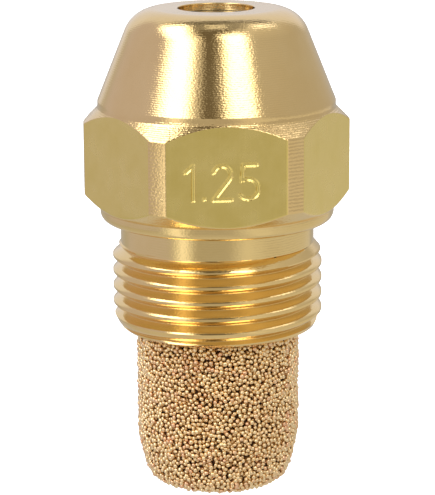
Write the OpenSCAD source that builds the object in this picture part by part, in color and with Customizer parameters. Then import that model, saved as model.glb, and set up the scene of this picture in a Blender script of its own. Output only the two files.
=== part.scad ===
// Oil burner nozzle, millimetres. The origin is the middle of the body's rear face,
// +Z is the direction of the spray. Everything behind that face is the filter.

/* [Body] */
// Height of the body from its rear face to its spray end
body_h = 21.73; // [21.6:0.01:22]
// Outside diameter of the holder thread, 9/16-24 UNEF
holder_d = 14.1; // [14.08:0.01:14.25]
// Pitch of the holder thread
holder_pitch = 1.0583; // [1.0:0.0083:1.0583]
// Depth of the holder thread
holder_depth = 0.64; // [0.5:0.01:0.66]
// Top of the holder thread
holder_top = 5.86; // [5.6:0.02:6]
// Size of the spanner hexagon across its flats
hex_flats = 16; // [15.8:0.05:16.2]
// Diameter that the hexagon's corners are turned down to
hex_corner_d = 17.79; // [17.4:0.01:18.2]
// Diameter of the plain neck over the thread
neck_d = 13; // [12.9:0.02:13.2]
// Diameter of the round collar under the hexagon
collar_d = 15.69; // [15.4:0.01:15.8]
// Diameter of the front opening
opening_d = 5.1; // [4.6:0.1:6]

/* [Bores] */
// Diameter of the bore that the disc and the cone sit in
seat_d = 8; // [7.8:0.1:8.4]
// Diameter of the rear bore, over its M10 x 0.75 thread
rear_bore_d = 10; // [9.9:0.05:10.2]
// Depth of the rear bore
rear_bore_depth = 14.15; // [14.1:0.05:14.4]

/* [Disc and cone] */
// Thickness of the orifice disc
disc_t = 2.18; // [2:0.02:2.4]
// Diameter of the spray orifice
orifice_d = 0.25; // [0.15:0.05:0.5]
// Width of a swirl slot
slot_w = 0.3; // [0.2:0.05:0.4]
// Number of swirl slots
slot_count = 4; // [2:1:4]

/* [Filter] */
// Outside diameter of the filter
filter_d = 10.95; // [10.85:0.05:11.1]
// Length of the filter behind the body
filter_h = 10.72; // [10.5:0.02:11]
// Inside diameter of the filter
filter_bore_d = 8; // [7.8:0.1:8.4]
// Diameter of the oil bore through the filter's socket
socket_bore_d = 5; // [4:0.1:5.4]

/* [Hidden] */
$fn = 96;

cut = 0.5;              // how far a cutting solid runs past what it cuts
part_gap = 0.02;        // axial gap between neighbours that are clamped together
fit_gap = 0.07;         // radial clearance of a piece that slides in its bore
crest_share = 0.125;    // crest flat of a thread, as a share of its pitch

// heights on the body
rear_land_r = 5.83;
rear_edge_r = 6.58;
rear_edge_z = 0.35;
lead_end_z = 1.28;
collar_z = 7.62;
collar_edge_r = 0.55;
hex_z = 8.46;
hex_low_z = 9.41;
hex_high_z = 14.24;
band_r = 7.94;          // plain band between the hexagon and the cone
band_z = 15.2;          // where the hexagon's upper chamfer would meet the band
band_round = 0.14;      // length that the hollow round takes off each of the two
band_end_z = 15.64;
nose_edge_r = 2.29;     // radius of the round between cone and front face
nose_flat_r = 3.95;
nose_half_angle = 22.2; // of the cone, from the axis
lip_t = 0.5;

// heights inside
lip_z = body_h - lip_t;
disc_front_z = lip_z - part_gap;
disc_rear_z = disc_front_z - disc_t;
disc_seat_r = 2.2;      // mouth of the 90 degree seat in the disc
swirl_r = 0.5;          // swirl chamber at the seat's tip
swirl_h = 0.1;
dimple_r = 0.45;
cone_gap = 0.04;        // axial gap between the cone's tip and its seat
screw_front_z = 13.95;
screw_rear_z = 8.95;
inner_pitch = 0.75;     // M10 x 0.75, screw and filter socket
inner_depth = 0.46;
inner_r = rear_bore_d / 2 - fit_gap;
key_flats = 4;
key_depth = 2.6;
oil_hole_d = 1;
oil_hole_r = 3.4;
socket_front_z = 4.8;
socket_relief = 0.6;
socket_tail = 4;
filter_straight = 7.4;
filter_taper = 13.8;    // lean of the filter's lower side
filter_edge_r = 1.67;   // round at its bottom edge
filter_floor = 1.6;
filter_rim = 0.15;

function arc(centre, r, from, to, steps) =
  [for (i = [0 : steps]) let (a = from + (to - from) * i / steps) centre + r * [cos(a), sin(a)]];

// zigzag outline of ring crests, from the bottom crest to the top one
function crests(r, depth, pitch, top, count) =
  let (flat = pitch * crest_share / 2, run = flat + depth * tan(30))
  [for (i = [count - 1 : -1 : 0]) let (z = top - run - i * pitch)
    each [[r - depth, z - run], [r, z - flat], [r, z + flat], [r - depth, z + run]]];

// a threaded barrel with ring crests and chamfered ends
module threaded_barrel(r, depth, pitch, low, high, chamfer) {
  count = floor((high - low - 2 * depth * tan(30)) / pitch) + 1;
  span = crests(r, depth, pitch, high, count);
  intersection() {
    rotate_extrude()
      polygon(concat([[0, low], [r - depth, low]], span, [[r - depth, high], [0, high]]));
    rotate_extrude()
      polygon([[0, low], [r - chamfer, low], [r, low + chamfer], [r, high], [0, high]]);
  }
}

module holder_thread() {
  r = holder_d / 2;
  root = r - holder_depth;
  intersection() {
    rotate_extrude()
      polygon(concat([[0, 0], [root, 0]], crests(r, holder_depth, holder_pitch, holder_top, 5),
        [[root, holder_top], [0, holder_top]]));
    rotate_extrude()
      polygon([[0, 0], [rear_land_r, 0], [rear_edge_r, rear_edge_z], [r, lead_end_z],
        [r, holder_top], [0, holder_top]]);
  }
}

module neck_and_collar() {
  collar_r = collar_d / 2;
  edge = [collar_r - collar_edge_r, collar_z + collar_edge_r];
  rotate_extrude()
    polygon(concat([[0, holder_top - cut], [neck_d / 2 - 0.1, holder_top - cut], [neck_d / 2, holder_top],
      [neck_d / 2, collar_z]], arc(edge, collar_edge_r, -90, 0, 6), [[collar_r, hex_z], [0, hex_z]]));
}

module spanner_hexagon() {
  corner_r = hex_corner_d / 2;
  lean = atan((band_z - hex_high_z) / (corner_r - band_r));
  hollow_r = band_round * tan(45 + lean / 2);
  hollow = [band_r + hollow_r, band_z + band_round];
  intersection() {
    translate([0, 0, hex_z])
      cylinder(h = hollow[1] - hex_z, r = hex_flats / 2 / cos(30), $fn = 6);
    rotate_extrude()
      polygon(concat([[0, hex_z], [collar_d / 2, hex_z], [corner_r, hex_low_z], [corner_r, hex_high_z]],
        arc(hollow, hollow_r, 270 - lean, 180, 5), [[0, hollow[1]]]));
  }
}

module spray_nose() {
  edge = [nose_flat_r, body_h - nose_edge_r];
  rotate_extrude()
    polygon(concat([[0, band_z], [band_r - band_round, band_z], [band_r, band_z + band_round],
      [band_r, band_end_z]], arc(edge, nose_edge_r, nose_half_angle, 90, 12), [[0, body_h]]));
}

module nozzle_body() {
  color("#c8a868")
  difference() {
    union() {
      holder_thread();
      neck_and_collar();
      spanner_hexagon();
      spray_nose();
    }
    translate([0, 0, lip_z - cut])
      cylinder(h = lip_t + 2 * cut, d = opening_d);
    translate([0, 0, rear_bore_depth - cut])
      cylinder(h = lip_z - rear_bore_depth + cut, d = seat_d);
    translate([0, 0, -cut])
      cylinder(h = rear_bore_depth + cut, d = rear_bore_d);
  }
}

module orifice_disc() {
  tip_z = disc_rear_z + disc_seat_r - swirl_r;
  dimple_z = disc_front_z - dimple_r + orifice_d / 2;
  color("#8f8f8f")
  difference() {
    rotate_extrude()
      polygon([[0, disc_rear_z], [seat_d / 2 - fit_gap - 0.2, disc_rear_z],
        [seat_d / 2 - fit_gap, disc_rear_z + 0.2], [seat_d / 2 - fit_gap, disc_front_z], [0, disc_front_z]]);
    rotate_extrude()
      polygon([[0, disc_rear_z - cut], [disc_seat_r + cut, disc_rear_z - cut], [swirl_r, tip_z],
        [swirl_r, tip_z + swirl_h], [orifice_d / 2, tip_z + swirl_h], [orifice_d / 2, dimple_z],
        [dimple_r + cut, disc_front_z + cut], [0, disc_front_z + cut]]);
  }
}

module swirl_cone() {
  shank_r = 2.7;
  barrel_z = 14.95;
  barrel_end_z = 17.35;
  nose_r = 3;
  nose_z = disc_rear_z + disc_seat_r - cone_gap - nose_r;
  tip_z = disc_rear_z + disc_seat_r - cone_gap - swirl_r;
  slot_depth = 0.35;
  slot_offset = swirl_r - slot_w / 2;
  flat_at = 3.3;
  color("#9a9a9a")
  difference() {
    rotate_extrude()
      polygon([[0, screw_front_z + part_gap], [shank_r, screw_front_z + part_gap], [shank_r, barrel_z],
        [seat_d / 2 - fit_gap, barrel_z], [seat_d / 2 - fit_gap, barrel_end_z], [nose_r, barrel_end_z],
        [nose_r, nose_z], [swirl_r, tip_z], [0, tip_z]]);
    for (i = [0 : slot_count - 1])
      rotate([0, 0, i * 360 / slot_count]) {
        // a tangential slot, laid along the 45 degree side of the nose
        translate([0, slot_offset, tip_z + swirl_r])
          rotate([0, 135, 0])
            translate([-cut, -slot_w / 2, 0])
              cube([slot_depth + cut, slot_w, nose_r * sqrt(2) + slot_depth]);
        // a flat that lets the oil past the barrel
        translate([flat_at, -seat_d / 2, barrel_z - part_gap])
          cube([seat_d, seat_d, barrel_end_z - barrel_z + 2 * part_gap]);
      }
  }
}

module retaining_screw() {
  color("#b8923f")
  difference() {
    threaded_barrel(inner_r, inner_depth, inner_pitch, screw_rear_z, screw_front_z, 0.4);
    translate([0, 0, screw_rear_z - cut])
      cylinder(h = key_depth + cut, r = key_flats / 2 / cos(30), $fn = 6);
    for (i = [0 : 3])
      rotate([0, 0, i * 90 + 45])
        translate([oil_hole_r, 0, screw_rear_z - cut])
          cylinder(h = screw_front_z - screw_rear_z + 2 * cut, d = oil_hole_d, $fn = 32);
  }
}

module filter_socket() {
  color("#b8923f")
  difference() {
    union() {
      threaded_barrel(inner_r, inner_depth, inner_pitch, socket_relief, socket_front_z, 0.4);
      cylinder(h = socket_relief, r = inner_r - inner_depth);
      translate([0, 0, -socket_tail])
        cylinder(h = socket_tail, d = filter_bore_d);
    }
    translate([0, 0, -socket_tail - cut])
      cylinder(h = socket_tail + socket_front_z + 2 * cut, d = socket_bore_d);
  }
}

module sintered_filter() {
  r = filter_d / 2;
  edge_z = filter_edge_r - filter_h;
  edge_r = r + (filter_straight + edge_z) * tan(filter_taper) - filter_edge_r / cos(filter_taper);
  color("#b9a27a")
  difference() {
    rotate_extrude()
      polygon(concat([[0, -part_gap], [r - filter_rim, -part_gap], [r, -part_gap - filter_rim]],
        [[r, -filter_straight]], arc([edge_r, edge_z], filter_edge_r, -filter_taper, -90, 8), [[0, -filter_h]]));
    translate([0, 0, -filter_h + filter_floor])
      cylinder(h = filter_h, d = filter_bore_d);
  }
}

nozzle_body();
orifice_disc();
swirl_cone();
retaining_screw();
filter_socket();
sintered_filter();
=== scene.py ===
import bpy
import bmesh
import math
import random
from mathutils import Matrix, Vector


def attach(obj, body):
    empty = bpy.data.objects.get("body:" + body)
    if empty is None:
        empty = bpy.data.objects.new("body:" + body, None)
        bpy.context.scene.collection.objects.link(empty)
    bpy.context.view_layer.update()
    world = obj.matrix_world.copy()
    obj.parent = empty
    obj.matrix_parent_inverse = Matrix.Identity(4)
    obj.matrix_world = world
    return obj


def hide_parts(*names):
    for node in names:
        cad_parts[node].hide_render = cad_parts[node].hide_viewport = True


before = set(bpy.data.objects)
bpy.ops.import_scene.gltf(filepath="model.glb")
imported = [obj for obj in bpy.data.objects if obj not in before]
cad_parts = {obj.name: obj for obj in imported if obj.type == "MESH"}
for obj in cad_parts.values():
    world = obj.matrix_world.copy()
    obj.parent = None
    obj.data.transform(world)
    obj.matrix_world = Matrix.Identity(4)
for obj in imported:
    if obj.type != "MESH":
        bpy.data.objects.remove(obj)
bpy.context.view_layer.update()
mm = 0.001  # settings are in millimetres and degrees, meshes in metres
turn = 2 * math.pi
print("frame loaded:", ", ".join(sorted(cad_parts)))


# skins are made of rings: angle 0 points out of the front flat, and angles grow towards +X
def evenAngles(count):
    return [turn * i / count for i in range(count)]


def arcPoints(centre, radius, start, end, steps):
    points = []
    for i in range(steps + 1):
        a = math.radians(start + (end - start) * i / steps)
        points.append((centre[0] + radius * math.cos(a), centre[1] + radius * math.sin(a)))
    return points


def cornerPoints(before, corner, after, radius, steps=4):
    # a small round in place of a corner, with a holding point on each side for the shading
    corner = Vector(corner)
    toBefore, toAfter = Vector(before) - corner, Vector(after) - corner
    reach = min(radius, 0.4 * toBefore.length, 0.4 * toAfter.length)
    start, end = corner + toBefore.normalized() * reach, corner + toAfter.normalized() * reach
    hold = 0.15 * reach
    points = [start + toBefore.normalized() * hold]
    for i in range(steps + 1):
        s = i / steps
        points.append(start * (1 - s) ** 2 + corner * 2 * s * (1 - s) + end * s ** 2)
    points.append(end + toAfter.normalized() * hold)
    return [tuple(p) for p in points]


def softened(corners, radius):
    # the outline with every inner corner rounded; an entry of three values brings its own radius
    points = [corners[0][:2]]
    for before, corner, after in zip(corners, corners[1:], corners[2:]):
        own = corner[2] if len(corner) > 2 else radius
        points += cornerPoints(before[:2], corner[:2], after[:2], own) if own else [corner[:2]]
    return points + [corners[-1][:2]]


class Skin:
    # points, faces and one finish number per face
    def __init__(self):
        self.points, self.faces, self.finishes = [], [], []

    def addFace(self, corners, finish):
        self.faces.append(corners)
        self.finishes.append(finish)

    def addRing(self, angles, radii, heights):
        first = len(self.points)
        for a, r, z in zip(angles, radii, heights):
            self.points.append((r * math.sin(a), -r * math.cos(a), z))
        return list(range(first, len(self.points)))

    def joinRings(self, one, two, finish):
        count = len(one)
        for i in range(count):
            j = (i + 1) % count
            self.addFace((one[i], one[j], two[j], two[i]), finish)

    def zipRings(self, one, oneAngles, two, twoAngles, finish):
        # joins rings that have different numbers of points
        i = j = 0
        while i < len(one) or j < len(two):
            nextOne = oneAngles[i + 1] if i + 1 < len(one) else turn + oneAngles[0]
            nextTwo = twoAngles[j + 1] if j + 1 < len(two) else turn + twoAngles[0]
            if j == len(two) or (i < len(one) and nextOne <= nextTwo):
                self.addFace((one[i % len(one)], one[(i + 1) % len(one)], two[j % len(two)]), finish)
                i += 1
            else:
                self.addFace((one[i % len(one)], two[(j + 1) % len(two)], two[j % len(two)]), finish)
                j += 1

    def addTurned(self, outline, angles, finish):
        # follows the outline: up the outside, down the inside; gives back its first and last ring
        rings = [self.addRing(angles, [r] * len(angles), [z] * len(angles)) for r, z in outline]
        for one, two in zip(rings, rings[1:]):
            self.joinRings(one, two, finish)
        return rings[0], rings[-1]

    def addThread(self, thread, angles, finish, inside=False):
        # rows run along the helix, so each crest and each root keeps a clean edge
        pitch, low, high = thread["pitch"], thread["low"], thread["high"]
        section = threadSection(thread)
        rowCount = (math.ceil((high - low) / pitch) + 3) * len(section)
        rows = []
        for k in range(rowCount):
            share, depth = section[k % len(section)]
            lift = low + (k // len(section) - 2 + share + thread["phase"]) * pitch
            heights = [min(high, max(low, lift + pitch * a / turn)) for a in angles]
            if inside:
                radii = [thread["crest"] + depth * thread["depth"] if low < z < high else thread["crest"]
                         for z in heights]
            else:
                radii = [min(thread["crest"] - depth * thread["depth"], envelope(thread["limits"], z))
                         for z in heights]
            rows.append(self.addRing(angles, radii, heights))
        last = len(angles) - 1
        for k in range(rowCount - 1):
            for i in range(len(angles)):
                if i < last:
                    corners = (rows[k][i], rows[k][i + 1], rows[k + 1][i + 1], rows[k + 1][i])
                else:  # past the last column the thread has risen by one pitch
                    near = rows[min(k + len(section), rowCount - 1)][0]
                    far = rows[min(k + 1 + len(section), rowCount - 1)][0]
                    corners = (rows[k][i], near, far, rows[k + 1][i])
                self.addFace(corners[::-1] if inside else corners, finish)


def threadSection(thread):
    # one pitch from root to root as (share of the pitch, depth from 0 at the crest to 1 at the root)
    pitch, depth, blend = thread["pitch"], thread["depth"], thread["blend"]
    run = depth * math.tan(math.radians(30)) / pitch
    crestHalf = thread["crestFlat"] / pitch / 2
    rootHalf = 0.5 - run - crestHalf
    blend /= pitch
    slope = blend / run
    top = rootHalf + run
    half = [(0, 1), (max(rootHalf - blend, 0.01), 1), (rootHalf + blend, 1 - slope),
            (rootHalf + run / 2, 0.5), (top - blend, slope), (top + min(blend, crestHalf * 0.6), 0)]
    return half + [(0.5, 0)] + [(1 - s, d) for s, d in half[:0:-1]]


def envelope(limits, z):
    # radius that a lathe tool leaves at this height, read from a list of (radius, height)
    for (r0, z0), (r1, z1) in zip(limits, limits[1:]):
        if z <= z1:
            return r0 + (r1 - r0) * max(0, (z - z0)) / (z1 - z0)
    return limits[-1][0]


def makePiece(name, skin, materials, sharp=30):
    mesh = bpy.data.meshes.new(name)
    mesh.from_pydata([(x * mm, y * mm, z * mm) for x, y, z in skin.points], [], skin.faces)
    mesh.polygons.foreach_set("material_index", skin.finishes)
    bm = bmesh.new()
    bm.from_mesh(mesh)
    bmesh.ops.remove_doubles(bm, verts=bm.verts, dist=0.0004 * mm)
    bmesh.ops.dissolve_degenerate(bm, edges=bm.edges, dist=0.0002 * mm)
    bmesh.ops.recalc_face_normals(bm, faces=bm.faces)
    bm.to_mesh(mesh)
    bm.free()
    for material in materials:
        mesh.materials.append(material)
    mesh.shade_smooth()
    mesh.set_sharp_from_angle(angle=math.radians(sharp))
    piece = bpy.data.objects.new(name, mesh)
    bpy.context.scene.collection.objects.link(piece)
    return piece


def placePiece(piece, body, slot, *nodes):
    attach(piece, body)
    if nodes:
        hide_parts(*nodes)
    print("made", piece.name, "with", len(piece.data.polygons), "faces")


# the nozzle body, from its rear face at 0 to the spray end
body = {
    "height": 21.73,
    "lip": 0.5, "openingRadius": 2.55, "lipRound": 0.07,
    "noseFlat": 3.95, "noseRound": 2.29, "noseAngle": 22.2,
    "band": 7.94, "bandLow": 15.2, "bandHigh": 15.64, "bandRound": 0.14,
    "hexLow": 8.46,
    "flatRadius": 8.0, "cornerRadius": 8.895, "cornerLow": 9.41, "cornerHigh": 14.24,
    "cornerBlend": 0.05, "edgeRound": 0.13,
    "rowsLow": 9.6, "rowsHigh": 14.04,
    "collarRadius": 7.845, "collarLow": 7.62, "collarEdge": 0.55,
    "neckRadius": 6.5, "neckLow": 6.07,
    "rearLand": 5.83, "seatRadius": 4.0, "boreRadius": 5.0, "boreTop": 14.15, "boreChamfer": 0.35,
    "columns": 240, "boreColumns": 120,
}
holderThread = {
    "pitch": 1.0583, "depth": 0.62, "crest": 7.05, "crestFlat": 0.26, "blend": 0.05,
    "low": 0.0, "high": 6.07, "phase": 0.638,
    "limits": [(5.83, 0.0), (6.58, 0.35), (7.05, 1.28), (7.05, 5.43), (6.5, 6.07)],
}
boreThread = {
    "pitch": 0.75, "depth": 0.3, "crest": 5.0, "crestFlat": 0.12, "blend": 0.03,
    "low": 0.35, "high": 13.6, "phase": 0.0,
}
sizeMark = {
    "text": "1.25", "height": 2.25, "middle": -0.35, "foot": 10.45, "spacing": 0.45,
    "depth": 0.09, "halfWidth": 0.14, "grid": 0.05, "reach": 3.2,
}
finishNames = ["turnedBrass", "cornerBrass", "milledBrass", "threadBrass", "neckBrass", "boreBrass"]
turned, cornered, milled, threaded, necked, bored = range(6)


def digitStrokes(sign):
    # strokes in a cell one unit high: lines as two ends, arcs as centre, radius, start and end angle
    if sign == "1":
        return 0.36, [((0.05, 0.80), (0.27, 1.0)), ((0.27, 1.0), (0.27, 0.0))]
    if sign == "2":
        bow = ((0.27, 0.73), 0.25, 165, -42)
        foot = (0.27 + 0.25 * math.cos(math.radians(-42)), 0.73 + 0.25 * math.sin(math.radians(-42)))
        return 0.56, [bow, (foot, (0.02, 0.0)), ((0.02, 0.0), (0.54, 0.0))]
    if sign == "5":
        bow = ((0.25, 0.31), 0.29, 128, -140)
        waist = (0.25 + 0.29 * math.cos(math.radians(128)), 0.31 + 0.29 * math.sin(math.radians(128)))
        return 0.56, [((0.48, 1.0), (0.11, 1.0)), ((0.11, 1.0), waist), bow]
    return 0.06, [((0.03, 0.03), (0.03, 0.03))]  # the point


def markStrokes():
    # the size number as strokes in millimetres across and up the front flat
    size, strokes, left = sizeMark["height"], [], 0.0
    for sign in sizeMark["text"]:
        width, shapes = digitStrokes(sign)
        for shape in shapes:
            if len(shape) == 2:
                strokes.append([(left + x * size, y * size) for x, y in shape])
            else:
                centre, radius, start, end = shape
                bow = arcPoints(centre, radius, start, end, 16)
                bow = [(left + x * size, y * size) for x, y in bow]
                strokes += [list(pair) for pair in zip(bow, bow[1:])]
        left += width * size + sizeMark["spacing"]
    shift = sizeMark["middle"] - (left - sizeMark["spacing"]) / 2
    return [[(x + shift, y + sizeMark["foot"]) for x, y in stroke] for stroke in strokes]


def strokeDistance(strokes, x, z):
    nearest = 1e9
    for (ax, az), (bx, bz) in strokes:
        dx, dz = bx - ax, bz - az
        along = dx * dx + dz * dz
        s = min(1, max(0, ((x - ax) * dx + (z - az) * dz) / along)) if along else 0
        nearest = min(nearest, math.hypot(x - ax - s * dx, z - az - s * dz))
    return nearest


def hexAngles():
    # dense where a flat meets a turned corner, and over the size number on the front flat
    edge = math.degrees(math.acos(body["flatRadius"] / body["cornerRadius"]))
    besides = [edge + d for d in (-1.2, -0.7, -0.35, 0, 0.35, 0.7, 1.2)]
    plain = [3 * i for i in range(9)]
    steps = round(sizeMark["reach"] / sizeMark["grid"])
    fine = [math.degrees(math.atan(i * sizeMark["grid"] / body["flatRadius"])) for i in range(steps + 1)]
    angles = []
    for side in range(6):
        inner = fine if side == 0 else plain
        half = inner + [a for a in besides if a > inner[-1]] + [28.6]
        for a in [-30] + [-h for h in half[:0:-1]] + half:
            angles.append(math.radians(60 * side + a))
    first = min(range(len(angles)), key=lambda i: abs(angles[i]))
    return angles[first:] + [a + turn for a in angles[:first]]


def hexColumn(angle):
    # one column up a flat or a corner: both chamfers, both rounded edges and the rows between them
    fromFlat = (math.degrees(angle) + 30) % 60 - 30
    flat = body["flatRadius"] / math.cos(math.radians(fromFlat))
    corner, blend = body["cornerRadius"], body["cornerBlend"]
    share = min(1, max(0, 0.5 + 0.5 * (corner - flat) / blend))
    radius = corner + (flat - corner) * share - blend * share * (1 - share)
    lowSlope = (body["cornerLow"] - body["hexLow"]) / (corner - body["collarRadius"])
    start = (body["collarRadius"], body["hexLow"])
    low = (radius, body["hexLow"] + (radius - start[0]) * lowSlope)
    band, size, rows = body["band"], body["edgeRound"], hexRows()
    shoulder = [band + (radius - band) * (1 - i / 10) ** 1.6 for i in range(11)]
    shoulder = [(r, shoulderHeight(r)) for r in shoulder]
    column = [start] + cornerPoints(start, low, (radius, rows[0]), size)
    column += [(radius, z) for z in rows]
    return column + cornerPoints((radius, rows[-1]), shoulder[0], shoulder[1], size) + shoulder[1:]


def shoulderHeight(radius):
    # height of the upper chamfer and of the hollow round that leads it into the band
    band, low, reach = body["band"], body["bandLow"], body["bandRound"]
    slope = (low - body["cornerHigh"]) / (body["cornerRadius"] - band)
    lean = math.atan(slope)
    if radius > band + reach * math.cos(lean):
        return low - (radius - band) * slope
    hollow = reach * math.tan(math.pi / 4 + lean / 2)
    return low + reach - math.sqrt(max(0, hollow ** 2 - (radius - band - hollow) ** 2))


def hexRows():
    low, high = body["rowsLow"], body["rowsHigh"]
    markLow = sizeMark["foot"] - 2 * sizeMark["halfWidth"]
    markHigh = sizeMark["foot"] + sizeMark["height"] + 2 * sizeMark["halfWidth"]
    steps = round((markHigh - markLow) / sizeMark["grid"])
    return [low, (low + markLow) / 2] + [markLow + i * sizeMark["grid"] for i in range(steps + 1)] + [
        (markHigh + high) / 2, high]


def addHexagon(skin):
    angles = hexAngles()
    columns = [hexColumn(a) for a in angles]
    strokes = markStrokes()
    wide = sizeMark["halfWidth"]
    rings = []
    for level in range(len(columns[0])):
        ring = skin.addRing(angles, [c[level][0] for c in columns], [c[level][1] for c in columns])
        rings.append(ring)
        for index in ring:
            x, y, z = skin.points[index]
            if y < 0 and abs(x) < sizeMark["reach"] and abs(y + body["flatRadius"]) < 0.001:
                near = strokeDistance(strokes, x, z) / wide
                if near < 1:
                    skin.points[index] = (x, y + sizeMark["depth"] * (1 - near ** 2) ** 0.8, z)
    edge = math.degrees(math.acos(body["flatRadius"] / body["cornerRadius"]))
    flatRows = range(4, len(rings) - 15)
    for level in range(len(rings) - 1):
        for i in range(len(angles)):
            j = (i + 1) % len(angles)
            middle = math.degrees(angles[i] + (angles[j] + (turn if j == 0 else 0))) / 2
            onFlat = abs((middle + 30) % 60 - 30) < edge and level in flatRows
            corners = (rings[level][i], rings[level][j], rings[level + 1][j], rings[level + 1][i])
            skin.addFace(corners, milled if onFlat else necked if level < 4 else cornered)
    return angles, rings[0], rings[-1]


def makeBody(materials):
    skin = Skin()
    outerAngles, fine = evenAngles(body["columns"]), evenAngles(body["boreColumns"])
    # rear face, outer thread, neck and collar
    rear = [(body["boreRadius"] + body["boreChamfer"], 0.0), (body["rearLand"], 0.0)]
    rearRings = skin.addTurned(rear, outerAngles, threaded)
    skin.addThread(holderThread, outerAngles, threaded)
    edge = (body["collarRadius"] - body["collarEdge"], body["collarLow"] + body["collarEdge"])
    neck = softened([(body["neckRadius"], body["neckLow"]), (body["neckRadius"], body["collarLow"], 0.12),
                     (edge[0] - 0.05, body["collarLow"])], 0.1)
    neck += arcPoints(edge, body["collarEdge"], -90, 0, 8)
    neck += [(body["collarRadius"], body["hexLow"] - 0.05)]
    collarTop = skin.addTurned(neck, outerAngles, necked)[1]
    # hexagon
    hexRound, hexBottom, hexTop = addHexagon(skin)
    skin.zipRings(collarTop, outerAngles, hexBottom, hexRound, cornered)
    # nose, front opening and the seat bore
    centre = (body["noseFlat"], body["height"] - body["noseRound"])
    nose = softened([(body["band"], body["bandLow"] + body["bandRound"] + 0.03),
                     (body["band"], body["bandHigh"]),
                     arcPoints(centre, body["noseRound"], body["noseAngle"], 90, 1)[0]], 0.06)[:-1]
    nose += arcPoints(centre, body["noseRound"], body["noseAngle"], 90, 26)
    opening, under = body["openingRadius"], body["height"] - body["lip"]
    nose += softened([(body["noseFlat"] - 0.1, body["height"]), (opening, body["height"], body["lipRound"]),
                      (opening, under, 0.04), (opening + 0.2, under)], 0.05)
    noseLow, noseHigh = skin.addTurned(nose, outerAngles, turned)
    skin.zipRings(hexTop, hexRound, noseLow, outerAngles, cornered)
    bore = [(body["seatRadius"], under), (body["seatRadius"], body["boreTop"]),
            (boreThread["crest"], body["boreTop"]), (boreThread["crest"], boreThread["high"])]
    seatTop = skin.addTurned(softened(bore, 0.05), fine, bored)[0]
    skin.zipRings(noseHigh, outerAngles, seatTop, fine, bored)
    skin.addThread(boreThread, fine, bored, inside=True)
    mouth = skin.addRing(fine, [boreThread["crest"]] * len(fine), [boreThread["low"]] * len(fine))
    skin.zipRings(mouth, fine, rearRings[0], outerAngles, bored)
    piece = makePiece("nozzleBody", skin, [materials[n] for n in finishNames])
    placePiece(piece, "body", "body_brass", "nozzle_body")


def makeCutter(name, points, faces):
    mesh = bpy.data.meshes.new(name)
    mesh.from_pydata([(x * mm, y * mm, z * mm) for x, y, z in points], [], faces)
    cutter = bpy.data.objects.new(name, mesh)
    bpy.context.scene.collection.objects.link(cutter)
    return cutter


def prismCutter(sides, radius, middle, low, high, startAngle=0.0):
    ring = [(middle[0] + radius * math.cos(startAngle + turn * i / sides),
             middle[1] + radius * math.sin(startAngle + turn * i / sides)) for i in range(sides)]
    points = [(x, y, low) for x, y in ring] + [(x, y, high) for x, y in ring]
    faces = [tuple(range(sides))[::-1], tuple(range(sides, 2 * sides))]
    faces += [(i, (i + 1) % sides, sides + (i + 1) % sides, sides + i) for i in range(sides)]
    return makeCutter("cutter", points, faces)


def cutPiece(piece, cutters, sharp=30):
    for cutter in cutters:
        change = piece.modifiers.new("cut", "BOOLEAN")
        change.operation, change.solver, change.object = "DIFFERENCE", "EXACT", cutter
    evaluated = piece.evaluated_get(bpy.context.evaluated_depsgraph_get())
    cut = bpy.data.meshes.new_from_object(evaluated)
    piece.modifiers.clear()
    piece.data = cut
    cut.shade_smooth()
    cut.set_sharp_from_angle(angle=math.radians(sharp))
    for cutter in cutters:
        bpy.data.objects.remove(cutter)


disc = {"radius": 3.93, "low": 19.03, "high": 21.21, "seat": 2.2, "chamber": 0.5, "chamberHeight": 0.1,
        "orifice": 0.125, "dimple": 0.45, "edge": 0.2}


def makeDisc(materials):
    skin = Skin()
    tip = disc["low"] + disc["seat"] - disc["chamber"]
    outline = softened([
        (disc["orifice"], tip + disc["chamberHeight"]), (disc["chamber"], tip + disc["chamberHeight"], 0),
        (disc["chamber"], tip, 0), (disc["seat"], disc["low"], 0.03),
        (disc["radius"] - disc["edge"], disc["low"]), (disc["radius"], disc["low"] + disc["edge"]),
        (disc["radius"], disc["high"], 0.06), (disc["dimple"], disc["high"], 0.05),
        (disc["orifice"], disc["high"] - disc["dimple"] + disc["orifice"], 0.02),
        (disc["orifice"], tip + disc["chamberHeight"])], 0.05)
    skin.addTurned(outline, evenAngles(96), 0)
    piece = makePiece("orificeDisc", skin, [materials["discSteel"]])
    placePiece(piece, "disc", "disc_steel", "orifice_disc")


cone = {"low": 13.97, "shank": 2.7, "barrelLow": 14.95, "barrelHigh": 17.35, "barrel": 3.93, "neck": 3.0,
        "tip": 0.5, "tipHeight": 20.69, "slots": 4, "slotWidth": 0.3, "slotDepth": 0.35, "flat": 3.3}


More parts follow.
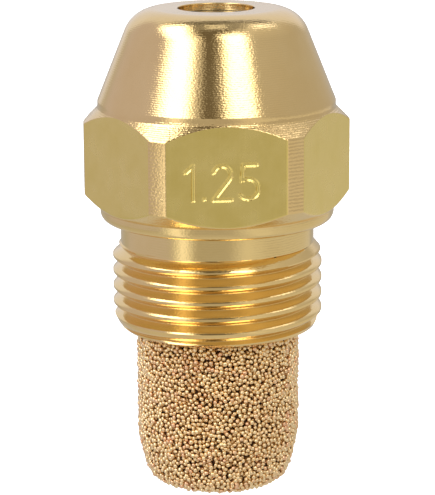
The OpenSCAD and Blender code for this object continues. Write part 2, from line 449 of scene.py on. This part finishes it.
def makeCone(materials):
    skin = Skin()
    skin.addTurned(softened([
        (0, cone["low"]), (cone["shank"], cone["low"], 0.1), (cone["shank"], cone["barrelLow"], 0.05),
        (cone["barrel"], cone["barrelLow"], 0.1), (cone["barrel"], cone["barrelHigh"], 0.1),
        (cone["neck"], cone["barrelHigh"], 0.05),
        (cone["neck"], cone["tipHeight"] - cone["neck"] + cone["tip"]),
        (cone["tip"], cone["tipHeight"], 0.04), (0, cone["tipHeight"])], 0.05), evenAngles(96), 0)
    piece = makePiece("swirlCone", skin, [materials["coneSteel"]])
    cutters = []
    middle = (cone["barrelLow"] + cone["barrelHigh"]) / 2
    reach = (cone["barrelHigh"] - cone["barrelLow"]) / 2 + 0.01
    for i in range(cone["slots"]):
        around = turn * i / cone["slots"]
        side = prismCutter(4, 4 * math.sqrt(2), (cone["flat"] + 4, 0), middle - reach, middle + reach,
                           math.pi / 4)
        side.rotation_euler = (0, 0, around)
        # a slot lies along the nose: its box is turned half way between the axis and the rear
        slot = prismCutter(4, 1, (0, 0), 0, 6, math.pi / 4)
        width, deep = cone["slotWidth"], cone["slotDepth"] + 0.5
        for point in slot.data.vertices:
            across, over = point.co.x / mm > 0, point.co.y / mm > 0
            point.co.x = (cone["slotDepth"] if across else cone["slotDepth"] - deep) * mm
            point.co.y = (cone["tip"] if over else cone["tip"] - width) * mm
        slot.rotation_mode = "XYZ"
        slot.rotation_euler = (0, math.radians(135), around)
        slot.location = (0, 0, (cone["tipHeight"] + cone["tip"]) * mm)
        cutters += [side, slot]
    bpy.context.view_layer.update()
    cutPiece(piece, cutters)
    placePiece(piece, "cone", "cone_steel", "swirl_cone")


# the screw and the filter socket have the same thread
innerThread = {"pitch": 0.75, "depth": 0.46, "crest": 4.93, "crestFlat": 0.1, "blend": 0.03, "phase": 0.0}


def threadedBarrel(skin, low, high, chamfer, angles):
    # outer thread between two chamfered ends; gives the radius that each end face starts from
    end = innerThread["crest"] - chamfer
    spec = dict(innerThread, low=low, high=high,
                limits=[(end, low), (innerThread["crest"], low + chamfer),
                        (innerThread["crest"], high - chamfer), (end, high)])
    skin.addThread(spec, angles, 0)
    return end


screw = {"low": 8.95, "high": 13.95, "chamfer": 0.4, "keyFlats": 4.0, "keyDepth": 2.6, "holes": 4,
         "holeRadius": 0.5, "holeCircle": 3.4}


def makeScrew(materials):
    skin = Skin()
    angles = evenAngles(96)
    end = threadedBarrel(skin, screw["low"], screw["high"], screw["chamfer"], angles)
    skin.addTurned([(0, screw["low"]), (end, screw["low"])], angles, 0)
    skin.addTurned([(end, screw["high"]), (0, screw["high"])], angles, 0)
    piece = makePiece("retainingScrew", skin, [materials["innerBrass"]])
    key = screw["keyFlats"] / 2 / math.cos(math.radians(30))
    cutters = [prismCutter(6, key, (0, 0), screw["low"] - 1, screw["low"] + screw["keyDepth"])]
    for i in range(screw["holes"]):
        a = turn * (i + 0.5) / screw["holes"]
        middle = (screw["holeCircle"] * math.cos(a), screw["holeCircle"] * math.sin(a))
        cutters.append(prismCutter(32, screw["holeRadius"], middle, screw["low"] - 1, screw["high"] + 1))
    bpy.context.view_layer.update()
    cutPiece(piece, cutters)
    placePiece(piece, "screw", "screw_brass", "retaining_screw")


socket = {"low": -4.0, "high": 4.8, "relief": 0.6, "tail": 4.0, "bore": 2.5, "chamfer": 0.4}


def makeSocket(materials):
    skin = Skin()
    angles = evenAngles(96)
    root = innerThread["crest"] - innerThread["depth"]
    spec = dict(innerThread, low=socket["relief"], high=socket["high"],
                limits=[(root, socket["relief"]), (innerThread["crest"], socket["relief"] + 0.3),
                        (innerThread["crest"], socket["high"] - socket["chamfer"]),
                        (innerThread["crest"] - socket["chamfer"], socket["high"])])
    skin.addThread(spec, angles, 0)
    end = innerThread["crest"] - socket["chamfer"]
    skin.addTurned(softened([
        (end, socket["high"]), (socket["bore"], socket["high"], 0.15), (socket["bore"], socket["low"], 0.15),
        (socket["tail"], socket["low"], 0.15), (socket["tail"], 0, 0.03), (root, 0, 0.05),
        (root, socket["relief"])], 0.05), angles, 0)
    placePiece(makePiece("filterSocket", skin, [materials["innerBrass"]]), "filter", "socket_brass",
               "filter_socket")


# the sintered filter: two layers of beads over a core painted dark brown as the shade in the gaps between
# the beads
filterCup = {"radius": 5.475, "height": 10.72, "straight": 7.4, "taper": 13.8, "edgeRound": 1.54,
             "bore": 4.0, "floor": 1.6, "foot": 0.26, "columns": 36, "steps": 7, "shuffle": 5, "bands": 5}
beads = {"radius": 0.162, "spacing": 0.25, "smallest": 0.74, "largest": 1.2, "lift": 0.06, "seed": 7,
         "inset": 0.115, "segments": 8, "rings": 5}
deepBeads = {"radius": 0.18, "spacing": 0.27, "smallest": 0.85, "largest": 1.1, "lift": 0.03, "seed": 23,
             "inset": 0.37, "segments": 6, "rings": 4}


def cupOutline(inset):
    # outside of the filter, moved inwards, from its rim to the middle of its bottom
    lean, edge = math.radians(filterCup["taper"]), filterCup["edgeRound"]
    low = edge - filterCup["height"]
    out = filterCup["radius"] + (filterCup["straight"] + low) * math.tan(lean) - edge / math.cos(lean)
    outline = [(filterCup["bore"] + inset, -inset)]
    for step in range(filterCup["steps"] + 1):
        drop = inset + (filterCup["straight"] - inset) * step / filterCup["steps"]
        outline.append((filterCup["radius"] - inset, -drop))
    outline += arcPoints((out, low), edge - inset, -filterCup["taper"], -90, 8)
    outline.append((0, low - edge + inset))
    # no bead may reach below the cup's bottom
    return [(r, max(z, low - edge + filterCup["foot"])) for r, z in outline]


def makeShadeCore(materials):
    # a dark brown shell under the beads: painted shade that shows through the gaps between them
    skin = Skin()
    outline = cupOutline(0.5)[::-1]
    outline += [(filterCup["bore"], -0.5), (filterCup["bore"], filterCup["floor"] - filterCup["height"]),
                (0, filterCup["floor"] - filterCup["height"])]
    skin.addTurned(outline, evenAngles(filterCup["columns"]), 0)
    return makePiece("filterShadeCore", skin, [materials["filterShadeCore"]])


def beadTree():
    # scatters beads over a surface and keeps those between two heights
    tree = bpy.data.node_groups.new("beadSkin", "GeometryNodeTree")
    face = tree.interface
    face.new_socket(name="Surface", in_out="INPUT", socket_type="NodeSocketGeometry")
    for name in ("Bead Radius", "Spacing", "Smallest", "Largest", "Lift", "Low", "High"):
        face.new_socket(name=name, in_out="INPUT", socket_type="NodeSocketFloat")
    for name in ("Segments", "Rings", "Seed"):
        face.new_socket(name=name, in_out="INPUT", socket_type="NodeSocketInt")
    face.new_socket(name="Finish", in_out="INPUT", socket_type="NodeSocketMaterial")
    face.new_socket(name="Beads", in_out="OUTPUT", socket_type="NodeSocketGeometry")
    add, link = tree.nodes.new, tree.links.new
    given, result = add("NodeGroupInput"), add("NodeGroupOutput")
    scatter = add("GeometryNodeDistributePointsOnFaces")
    scatter.distribute_method = "POISSON"
    scatter.inputs["Density Max"].default_value = 2.5e8
    link(given.outputs["Surface"], scatter.inputs["Mesh"])
    link(given.outputs["Spacing"], scatter.inputs["Distance Min"])
    link(given.outputs["Seed"], scatter.inputs["Seed"])
    # points outside this band belong to another piece
    place, parts = add("GeometryNodeInputPosition"), add("ShaderNodeSeparateXYZ")
    link(place.outputs[0], parts.inputs[0])
    below, above, outside = add("ShaderNodeMath"), add("ShaderNodeMath"), add("ShaderNodeMath")
    below.operation, above.operation, outside.operation = "LESS_THAN", "GREATER_THAN", "MAXIMUM"
    link(parts.outputs["Z"], below.inputs[0])
    link(given.outputs["Low"], below.inputs[1])
    link(parts.outputs["Z"], above.inputs[0])
    link(given.outputs["High"], above.inputs[1])
    link(below.outputs[0], outside.inputs[0])
    link(above.outputs[0], outside.inputs[1])
    drop = add("GeometryNodeDeleteGeometry")
    drop.domain = "POINT"
    link(scatter.outputs["Points"], drop.inputs["Geometry"])
    link(outside.outputs[0], drop.inputs["Selection"])
    # each bead sits a little higher or lower
    normal = add("GeometryNodeCaptureAttribute")
    normal.capture_items.new("VECTOR", "Out")
    link(drop.outputs["Geometry"], normal.inputs["Geometry"])
    link(scatter.outputs["Normal"], normal.inputs["Out"])
    lift, move, low = add("FunctionNodeRandomValue"), add("ShaderNodeVectorMath"), add("ShaderNodeMath")
    lift.data_type, move.operation, low.operation = "FLOAT", "SCALE", "MULTIPLY"
    low.inputs[1].default_value = -1
    link(given.outputs["Lift"], low.inputs[0])
    link(low.outputs[0], lift.inputs[2])
    link(given.outputs["Lift"], lift.inputs[3])
    link(given.outputs["Seed"], lift.inputs["Seed"])
    link(normal.outputs["Out"], move.inputs[0])
    link(lift.outputs[1], move.inputs["Scale"])
    shift = add("GeometryNodeSetPosition")
    link(normal.outputs["Geometry"], shift.inputs["Geometry"])
    link(move.outputs[0], shift.inputs["Offset"])
    # bead shape, size and turn
    ball = add("GeometryNodeMeshUVSphere")
    link(given.outputs["Bead Radius"], ball.inputs["Radius"])
    link(given.outputs["Segments"], ball.inputs["Segments"])
    link(given.outputs["Rings"], ball.inputs["Rings"])
    size, angle = add("FunctionNodeRandomValue"), add("FunctionNodeRandomValue")
    size.data_type, angle.data_type = "FLOAT_VECTOR", "FLOAT_VECTOR"
    link(given.outputs["Smallest"], size.inputs[0])
    link(given.outputs["Largest"], size.inputs[1])
    link(given.outputs["Seed"], size.inputs["Seed"])
    angle.inputs[1].default_value = (turn, turn, turn)
    link(given.outputs["Seed"], angle.inputs["Seed"])
    copy = add("GeometryNodeInstanceOnPoints")
    link(shift.outputs["Geometry"], copy.inputs["Points"])
    link(ball.outputs["Mesh"], copy.inputs["Instance"])
    link(angle.outputs[0], copy.inputs["Rotation"])
    link(size.outputs[0], copy.inputs["Scale"])
    tint, keep = add("FunctionNodeRandomValue"), add("GeometryNodeStoreNamedAttribute")
    tint.data_type, keep.data_type, keep.domain = "FLOAT", "FLOAT", "INSTANCE"
    keep.inputs["Name"].default_value = "beadTint"
    link(given.outputs["Seed"], tint.inputs["Seed"])
    link(copy.outputs["Instances"], keep.inputs["Geometry"])
    link(tint.outputs[1], keep.inputs["Value"])
    real, smooth, paint = (add("GeometryNodeRealizeInstances"), add("GeometryNodeSetShadeSmooth"),
                           add("GeometryNodeSetMaterial"))
    link(keep.outputs["Geometry"], real.inputs["Geometry"])
    link(real.outputs["Geometry"], smooth.inputs["Geometry"])
    link(smooth.outputs["Geometry"], paint.inputs["Geometry"])
    link(given.outputs["Finish"], paint.inputs["Material"])
    link(paint.outputs["Geometry"], result.inputs["Beads"])
    return tree


def scatterBeads(tree, name, spec, low, high, material):
    # one band of one layer as a plain mesh
    skin = Skin()
    skin.addTurned(cupOutline(spec["inset"])[::-1], evenAngles(filterCup["columns"]), 0)
    random.Random(filterCup["shuffle"]).shuffle(skin.faces)  # so the beads do not line up in rows
    base = makePiece(name, skin, [])
    change = base.modifiers.new("beads", "NODES")
    change.node_group = tree
    values = {"Bead Radius": spec["radius"] * mm, "Spacing": spec["spacing"] * mm,
              "Smallest": spec["smallest"], "Largest": spec["largest"], "Lift": spec["lift"] * mm,
              "Low": low * mm, "High": high * mm, "Segments": spec["segments"], "Rings": spec["rings"],
              "Seed": spec["seed"], "Finish": material}
    for item in tree.interface.items_tree:
        if item.name in values:
            change[item.identifier] = values[item.name]
    evaluated = base.evaluated_get(bpy.context.evaluated_depsgraph_get())
    mesh = bpy.data.meshes.new_from_object(evaluated)
    base.modifiers.clear()
    base.data = mesh
    return base


def makeFilter(materials):
    core = makeShadeCore(materials)
    placePiece(core, "filter", "filter_bronze", "sintered_filter")
    tree = beadTree()
    depth = filterCup["height"] / filterCup["bands"]
    for band in range(filterCup["bands"]):
        high = 1 if band == 0 else -band * depth
        low = -(band + 1) * depth - (1 if band == filterCup["bands"] - 1 else 0)
        outer = scatterBeads(tree, f"filterBeads{band + 1}", beads, low, high, materials["beadBronze"])
        placePiece(outer, "filter", "filter_bronze")
    deep = scatterBeads(tree, "filterInnerBeads", deepBeads, -99, 99, materials["beadBronze"])
    placePiece(deep, "filter", "filter_bronze")


def newGroup(name, inputs, outputs):
    group = bpy.data.node_groups.new(name, "ShaderNodeTree")
    kinds = {"vector": "NodeSocketVector", "value": "NodeSocketFloat", "color": "NodeSocketColor"}
    for label, kind in inputs.items():
        group.interface.new_socket(name=label, in_out="INPUT", socket_type=kinds[kind])
    for label, kind in outputs.items():
        group.interface.new_socket(name=label, in_out="OUTPUT", socket_type=kinds[kind])
    return group, group.nodes.new("NodeGroupInput"), group.nodes.new("NodeGroupOutput")


def put(tree, kind, settings=None, **inputs):
    # adds a node; an input is a value or another node's socket, and its name's underscores are spaces
    node = tree.nodes.new(kind)
    for label, value in (settings or {}).items():
        setattr(node, label, value)
    for label, value in inputs.items():
        key = int(label[1:]) if label[0] == "_" else label.replace("_", " ")
        if isinstance(value, bpy.types.NodeSocket):
            tree.links.new(value, node.inputs[key])
        else:
            node.inputs[key].default_value = value
    return node


def calc(tree, operation, *values):
    inputs = {f"_{i}": v for i, v in enumerate(values)}
    return put(tree, "ShaderNodeMath", {"operation": operation}, **inputs).outputs[0]


def inMillimetres(group, given):
    return put(group, "ShaderNodeVectorMath", {"operation": "SCALE"}, _0=given.outputs["Vector"],
               Scale=1 / mm)


def latheMarks():
    # feed lines round the axis and fine chatter between them, as a height in millimetres
    group, given, result = newGroup(
        "latheMarks",
        {"Vector": "vector", "Feed": "value", "Line Depth": "value", "Chatter Size": "value",
         "Chatter Depth": "value"}, {"Height": "value"})
    place = inMillimetres(group, given)
    parts = put(group, "ShaderNodeSeparateXYZ", _0=place.outputs[0])
    drift = put(group, "ShaderNodeTexNoise", Vector=place.outputs[0], Scale=0.9, Detail=2.0)
    radius = put(group, "ShaderNodeVectorMath", {"operation": "LENGTH"}, _0=put(
        group, "ShaderNodeCombineXYZ", X=parts.outputs["X"], Y=parts.outputs["Y"]).outputs[0])
    path = calc(group, "ADD", calc(group, "SUBTRACT", parts.outputs["Z"], radius.outputs["Value"]),
                calc(group, "MULTIPLY", drift.outputs[0], 0.15))
    wave = calc(group, "SINE", calc(
        group, "DIVIDE", calc(group, "MULTIPLY", path, turn), given.outputs["Feed"]))
    flattened = put(group, "ShaderNodeVectorMath", {"operation": "MULTIPLY"}, _0=place.outputs[0],
                    _1=(1.0, 1.0, 1.7)).outputs[0]
    spots = put(group, "ShaderNodeTexNoise", Vector=flattened,
                Scale=calc(group, "DIVIDE", 1.0, given.outputs["Chatter Size"]), Detail=1.0, Roughness=0.5)
    lines = calc(group, "MULTIPLY", wave, given.outputs["Line Depth"])
    chatter = calc(group, "MULTIPLY", calc(group, "SUBTRACT", spots.outputs[0], 0.5),
                   given.outputs["Chatter Depth"])
    group.links.new(calc(group, "ADD", lines, chatter), result.inputs["Height"])
    return group


def millMarks():
    # shallow straight streaks up and across a milled flat, as a height in millimetres
    group, given, result = newGroup("millMarks", {"Vector": "vector", "Depth": "value"}, {"Height": "value"})
    place = inMillimetres(group, given)
    total = None
    for stretch, weight in (((6.0, 6.0, 0.25), 1.0), ((0.3, 0.3, 9.0), 0.55)):
        along = put(group, "ShaderNodeVectorMath", {"operation": "MULTIPLY"}, _0=place.outputs[0],
                    _1=stretch)
        streak = put(group, "ShaderNodeTexNoise", Vector=along.outputs[0], Scale=1.0, Detail=3.0,
                     Roughness=0.6)
        part = calc(group, "MULTIPLY", calc(group, "SUBTRACT", streak.outputs[0], 0.5), weight)
        total = calc(group, "ADD", total, part) if total else part
    group.links.new(calc(group, "MULTIPLY", total, given.outputs["Depth"]), result.inputs["Height"])
    return group


def metalTone():
    # slow change of colour and gloss over a handled metal surface
    group, given, result = newGroup(
        "metalTone", {"Vector": "vector", "Size": "value", "Light": "color", "Dark": "color",
                      "Gloss": "value", "Gloss Change": "value"}, {"Color": "color", "Roughness": "value"})
    place = inMillimetres(group, given)
    scale = calc(group, "DIVIDE", 1.0, given.outputs["Size"])
    cloud = put(group, "ShaderNodeTexNoise", Vector=place.outputs[0], Scale=scale, Detail=4.0, Roughness=0.6)
    mask = put(group, "ShaderNodeMapRange", Value=cloud.outputs[0], From_Min=0.3, From_Max=0.7).outputs[0]
    mixed = put(group, "ShaderNodeMix", {"data_type": "RGBA"}, Factor=mask, _6=given.outputs["Dark"],
                _7=given.outputs["Light"])
    group.links.new(mixed.outputs[2], result.inputs["Color"])
    wipe = calc(group, "MULTIPLY", calc(group, "SUBTRACT", mask, 0.5), given.outputs["Gloss Change"])
    group.links.new(calc(group, "ADD", given.outputs["Gloss"], wipe), result.inputs["Roughness"])
    return group


finishSettings = {
    "turnedBrass": {"light": (0.91, 0.67, 0.32), "dark": (0.88, 0.63, 0.28), "gloss": 0.10, "feed": 0.19,
                    "lineDepth": 0.0012, "chatterSize": 0.15, "chatterDepth": 0.009},
    "cornerBrass": {"light": (0.90, 0.66, 0.31), "dark": (0.86, 0.61, 0.27), "gloss": 0.12, "feed": 0.23,
                    "lineDepth": 0.0045, "chatterSize": 0.16, "chatterDepth": 0.018},
    "threadBrass": {"light": (0.91, 0.67, 0.30), "dark": (0.87, 0.62, 0.26), "gloss": 0.12, "feed": 0.3,
                    "lineDepth": 0.0002, "chatterSize": 0.18, "chatterDepth": 0.006},
    "neckBrass": {"light": (0.90, 0.68, 0.31), "dark": (0.86, 0.635, 0.27), "gloss": 0.13, "feed": 0.17,
                  "lineDepth": 0.0012, "chatterSize": 0.16, "chatterDepth": 0.008},
    "boreBrass": {"light": (0.84, 0.62, 0.28), "dark": (0.76, 0.54, 0.23), "gloss": 0.24, "feed": 0.2,
                  "lineDepth": 0.002, "chatterSize": 0.2, "chatterDepth": 0.01},
    "innerBrass": {"light": (0.87, 0.64, 0.27), "dark": (0.80, 0.57, 0.22), "gloss": 0.18, "feed": 0.18,
                   "lineDepth": 0.0016, "chatterSize": 0.15, "chatterDepth": 0.008},
    "discSteel": {"light": (0.60, 0.59, 0.57), "dark": (0.50, 0.49, 0.47), "gloss": 0.22, "feed": 0.15,
                  "lineDepth": 0.003, "chatterSize": 0.15, "chatterDepth": 0.006},
    "coneSteel": {"light": (0.66, 0.65, 0.63), "dark": (0.56, 0.55, 0.53), "gloss": 0.2, "feed": 0.12,
                  "lineDepth": 0.002, "chatterSize": 0.15, "chatterDepth": 0.006},
}


def startMaterial(name):
    material = bpy.data.materials.new(name)
    material.use_nodes = True
    tree = material.node_tree
    shader = tree.nodes["Principled BSDF"]
    shader.inputs["Metallic"].default_value = 1.0
    place = tree.nodes.new("ShaderNodeTexCoord").outputs["Object"]
    return material, tree, shader, place


def addTone(tree, group, shader, place, light, dark, gloss, size=3.0, change=0.05):
    tone = put(tree, "ShaderNodeGroup", {"node_tree": group}, Vector=place, Size=size, Light=(*light, 1),
               Dark=(*dark, 1), Gloss=gloss, Gloss_Change=change)
    tree.links.new(tone.outputs["Color"], shader.inputs["Base Color"])
    tree.links.new(tone.outputs["Roughness"], shader.inputs["Roughness"])


def addBump(tree, shader, height):
    bump = put(tree, "ShaderNodeBump", Strength=1.0, Distance=mm, Height=height)
    tree.links.new(bump.outputs[0], shader.inputs["Normal"])


def turnedFinish(name, groups):
    want = finishSettings[name]
    material, tree, shader, place = startMaterial(name)
    addTone(tree, groups["tone"], shader, place, want["light"], want["dark"], want["gloss"])
    marks = put(tree, "ShaderNodeGroup", {"node_tree": groups["lathe"]}, Vector=place, Feed=want["feed"],
                Line_Depth=want["lineDepth"], Chatter_Size=want["chatterSize"],
                Chatter_Depth=want["chatterDepth"])
    addBump(tree, shader, marks.outputs[0])
    return material


flatFinish = {"light": (0.90, 0.71, 0.25), "dark": (0.84, 0.65, 0.19), "gloss": 0.26, "glossChange": 0.06,
              "cloud": 2.0, "depth": 0.006}


def milledFinish(groups):
    material, tree, shader, place = startMaterial("milledBrass")
    addTone(tree, groups["tone"], shader, place, flatFinish["light"], flatFinish["dark"],
            flatFinish["gloss"], flatFinish["cloud"], flatFinish["glossChange"])
    marks = put(tree, "ShaderNodeGroup", {"node_tree": groups["mill"]}, Vector=place,
                Depth=flatFinish["depth"])
    addBump(tree, shader, marks.outputs[0])
    return material


beadColours = {
    "tints": [(0.0, (0.95, 0.69, 0.37)), (0.45, (0.99, 0.77, 0.45)), (0.8, (0.96, 0.70, 0.39)),
              (0.94, (0.92, 0.62, 0.36)), (1.0, (0.92, 0.56, 0.33))],
    "gloss": 0.27, "metallic": 0.95, "chatterSize": 0.09, "chatterDepth": 0.012,
    # the core's two dark browns are painted shade for the gaps between the beads
    "coreShadeLight": (0.20, 0.10, 0.045), "coreShadeDark": (0.10, 0.05, 0.025), "coreGloss": 0.6, "coreMetallic": 0.4,
}


def beadFinish(groups):
    # every bead has its own tone between pale gold and copper
    material, tree, shader, place = startMaterial("beadBronze")
    tint = put(tree, "ShaderNodeAttribute", {"attribute_name": "beadTint"}).outputs["Fac"]
    ramp = put(tree, "ShaderNodeValToRGB", Fac=tint)
    stops = ramp.color_ramp.elements
    stops[0].color = (*beadColours["tints"][0][1], 1)
    stops[1].color = (*beadColours["tints"][-1][1], 1)
    for position, color in beadColours["tints"][1:-1]:
        stops.new(position).color = (*color, 1)
    tree.links.new(ramp.outputs["Color"], shader.inputs["Base Color"])
    shader.inputs["Roughness"].default_value = beadColours["gloss"]
    shader.inputs["Metallic"].default_value = beadColours["metallic"]
    marks = put(tree, "ShaderNodeGroup", {"node_tree": groups["lathe"]}, Vector=place, Feed=0.4,
                Line_Depth=0.0, Chatter_Size=beadColours["chatterSize"],
                Chatter_Depth=beadColours["chatterDepth"])
    addBump(tree, shader, marks.outputs[0])
    return material


def shadeCoreFinish(groups):
    # dark brown painted shade for the gaps between the beads
    material, tree, shader, place = startMaterial("filterShadeCore")
    addTone(tree, groups["tone"], shader, place, beadColours["coreShadeLight"], beadColours["coreShadeDark"],
            beadColours["coreGloss"], 0.6, 0.1)
    shader.inputs["Metallic"].default_value = beadColours["coreMetallic"]
    return material


def makeFinishes():
    groups = {"lathe": latheMarks(), "mill": millMarks(), "tone": metalTone()}
    materials = {name: turnedFinish(name, groups) for name in finishSettings}
    materials["milledBrass"] = milledFinish(groups)
    materials["beadBronze"] = beadFinish(groups)
    materials["filterShadeCore"] = shadeCoreFinish(groups)
    return materials


studio = {
    "heading": -4.6,  # degrees round from the front flat towards +X
    "cameraOut": 148.3, "cameraUp": 40.55, "cameraPitch": 13.31, "cameraRoll": 0.3,
    "lens": 164.03, "sensor": 36.0, "shift": 0.0059,
    "floorHeight": -66.0, "floorSize": 3000.0,
    "lampHeight": 0.4, "lampSize": 0.1, "lampPower": 0.02,  # the weak lamp overhead, in metres and watts
}
surroundings = {
    # how bright each elevation is where no panel hangs
    "heights": [(-90, 0.64), (-8, 0.47), (0, 0.52), (20, 0.50), (45, 0.59), (64, 0.72), (74, 0.34),
                (90, 0.26)],
    "tint": (1.0, 0.97, 0.94),
}
# azimuth from the camera's heading, elevation, width, height, roll and soft edge in degrees
panels = {
    "rearWall": {"azimuth": 184, "elevation": 32, "wide": 74, "tall": 60, "roll": -15, "edge": 9,
                 "radiance": (0.78, 0.79, 0.88)},
    "rearGap": {"azimuth": 197, "elevation": 67.5, "wide": 74, "tall": 10, "roll": -2, "edge": 8,
                "radiance": (0.03, 0.03, 0.03)},
    "leftFill": {"azimuth": -94, "elevation": 16, "wide": 84, "tall": 72, "roll": 0, "edge": 12,
                 "radiance": (0.57, 0.54, 0.64)},
    "rightFloor": {"azimuth": 96, "elevation": -32, "wide": 96, "tall": 46, "roll": 0, "edge": 8,
                   "radiance": (0.66, 0.64, 0.61)},
    "frontGap": {"azimuth": -1, "elevation": 50.5, "wide": 32, "tall": 55, "roll": 10, "edge": 5,
                 "radiance": (0.16, 0.14, 0.11)},
    "leftSpill": {"azimuth": -39.5, "elevation": -4, "wide": 14, "tall": 112, "roll": -8, "edge": 12,
                  "radiance": (1.28, 1.26, 1.24)},
    "rightSpill": {"azimuth": 34, "elevation": -5, "wide": 26, "tall": 118, "roll": 20, "edge": 14,
                   "radiance": (0.76, 0.74, 0.70)},
    "leftBox": {"azimuth": -62, "elevation": 45.5, "wide": 74, "tall": 25, "roll": -43, "edge": 7,
                "radiance": (3.5, 3.5, 3.5)},
    "rightBox": {"azimuth": 28, "elevation": 43.5, "wide": 25, "tall": 34, "roll": -2, "edge": 7,
                 "radiance": (3.5, 3.45, 3.35)},
    "rearBox": {"azimuth": 116, "elevation": 55.5, "wide": 7, "tall": 20, "roll": 29, "edge": 6,
                "radiance": (2.2, 2.2, 2.4)},
}


def direction(azimuth, elevation):
    a, e = math.radians(azimuth + studio["heading"]), math.radians(elevation)
    return Vector((math.sin(a) * math.cos(e), -math.cos(a) * math.cos(e), math.sin(e)))


def makeCamera():
    data = bpy.data.cameras.new("camera")
    data.lens, data.sensor_width, data.shift_x = studio["lens"], studio["sensor"], studio["shift"]
    data.clip_start, data.clip_end = 0.01, 10.0
    camera = bpy.data.objects.new("camera", data)
    bpy.context.scene.collection.objects.link(camera)
    camera.location = direction(0, 0) * studio["cameraOut"] * mm + Vector((0, 0, studio["cameraUp"] * mm))
    angles = (90 - studio["cameraPitch"], studio["cameraRoll"], studio["heading"])
    camera.rotation_euler = [math.radians(a) for a in angles]
    bpy.context.scene.camera = camera


def panelMask():
    # 1 inside a panel seen in the given direction, 0 outside, with a soft edge
    group, given, result = newGroup(
        "panelMask", {"Direction": "vector", "Out": "vector", "Across": "vector", "Up": "vector",
                      "Half Width": "value", "Half Height": "value", "Edge": "value"}, {"Mask": "value"})

    def along(axis):
        return put(group, "ShaderNodeVectorMath", {"operation": "DOT_PRODUCT"},
                   _0=given.outputs["Direction"], _1=given.outputs[axis]).outputs["Value"]

    ahead = along("Out")
    mask = calc(group, "GREATER_THAN", ahead, 0.05)
    safe = calc(group, "MAXIMUM", ahead, 0.05)
    for axis, half in (("Across", "Half Width"), ("Up", "Half Height")):
        off = calc(group, "ABSOLUTE", calc(group, "DIVIDE", along(axis), safe))
        inside = calc(group, "DIVIDE", calc(group, "SUBTRACT", given.outputs[half], off),
                      given.outputs["Edge"])
        soft = put(group, "ShaderNodeMapRange", {"interpolation_type": "SMOOTHSTEP"}, Value=inside,
                   From_Min=-1.0, From_Max=1.0).outputs[0]
        mask = calc(group, "MULTIPLY", mask, soft)
    group.links.new(mask, result.inputs["Mask"])
    return group


def makeWorld():
    world = bpy.data.worlds.new("studio")
    bpy.context.scene.world = world
    world.use_nodes = True
    tree = world.node_tree
    place = tree.nodes.new("ShaderNodeTexCoord").outputs["Generated"]
    parts = put(tree, "ShaderNodeSeparateXYZ", _0=place)
    height = put(tree, "ShaderNodeMapRange", Value=parts.outputs["Z"], From_Min=-1.0,
                 From_Max=1.0).outputs[0]
    ramp = put(tree, "ShaderNodeValToRGB", Fac=height)
    stops = ramp.color_ramp.elements
    for i, (elevation, level) in enumerate(surroundings["heights"]):
        position = (math.sin(math.radians(elevation)) + 1) / 2
        stop = stops[i] if i < 1 else stops[-1] if elevation == 90 else stops.new(position)
        stop.position = position
        stop.color = (*[level * t for t in surroundings["tint"]], 1)
    color, group = ramp.outputs["Color"], panelMask()
    for panel in panels.values():
        out = direction(panel["azimuth"], panel["elevation"])
        level = direction(panel["azimuth"] + 90, 0)
        rise = level.cross(out) if level.cross(out).z > 0 else out.cross(level)
        roll = math.radians(panel["roll"])
        across = level * math.cos(roll) + rise * math.sin(roll)
        up = rise * math.cos(roll) - level * math.sin(roll)
        mask = put(tree, "ShaderNodeGroup", {"node_tree": group}, Direction=place, Out=out, Across=across,
                   Up=up,
                   Half_Width=math.tan(math.radians(panel["wide"] / 2)),
                   Half_Height=math.tan(math.radians(panel["tall"] / 2)),
                   Edge=math.tan(math.radians(panel["edge"])))
        mixed = put(tree, "ShaderNodeMix", {"data_type": "RGBA"}, Factor=mask.outputs[0], _6=color,
                    _7=(*panel["radiance"], 1))
        color = mixed.outputs[2]
    tree.links.new(color, tree.nodes["Background"].inputs["Color"])


def makeTopLight():
    # for the rims
    data = bpy.data.lights.new("topLight", "AREA")
    data.shape, data.size, data.energy = "SQUARE", studio["lampSize"], studio["lampPower"]
    light = bpy.data.objects.new("topLight", data)
    bpy.context.scene.collection.objects.link(light)
    light.location = (0, 0, studio["lampHeight"])
    light.visible_camera = False


def makeFloor():
    half, z = studio["floorSize"] / 2 * mm, studio["floorHeight"] * mm
    mesh = bpy.data.meshes.new("floor")
    corners = [(-half, -half, z), (half, -half, z), (half, half, z), (-half, half, z)]
    mesh.from_pydata(corners, [], [(0, 1, 2, 3)])
    floor = bpy.data.objects.new("floor", mesh)
    bpy.context.scene.collection.objects.link(floor)
    material = bpy.data.materials.new("paleFloor")
    material.use_nodes = True
    tree = material.node_tree
    shader = tree.nodes["Principled BSDF"]
    shader.inputs["Base Color"].default_value = (0.9, 0.9, 0.9, 1)
    shader.inputs["Roughness"].default_value = 0.9
    shader.inputs["Emission Color"].default_value = (1, 1, 1, 1)
    seen = tree.nodes.new("ShaderNodeLightPath").outputs["Is Camera Ray"]
    glow = put(tree, "ShaderNodeMapRange", Value=seen, To_Min=0.0, To_Max=0.8).outputs[0]
    tree.links.new(glow, shader.inputs["Emission Strength"])
    mesh.materials.append(material)
    floor.visible_glossy = False  # the metal mirrors the surroundings' lower half instead


bpy.context.scene.view_settings.view_transform = "Standard"
makeCamera()
makeTopLight()
makeWorld()
makeFloor()
materials = makeFinishes()
print("studio and finishes ready")
makeBody(materials)
makeDisc(materials)
makeCone(materials)
makeScrew(materials)
makeSocket(materials)
makeFilter(materials)
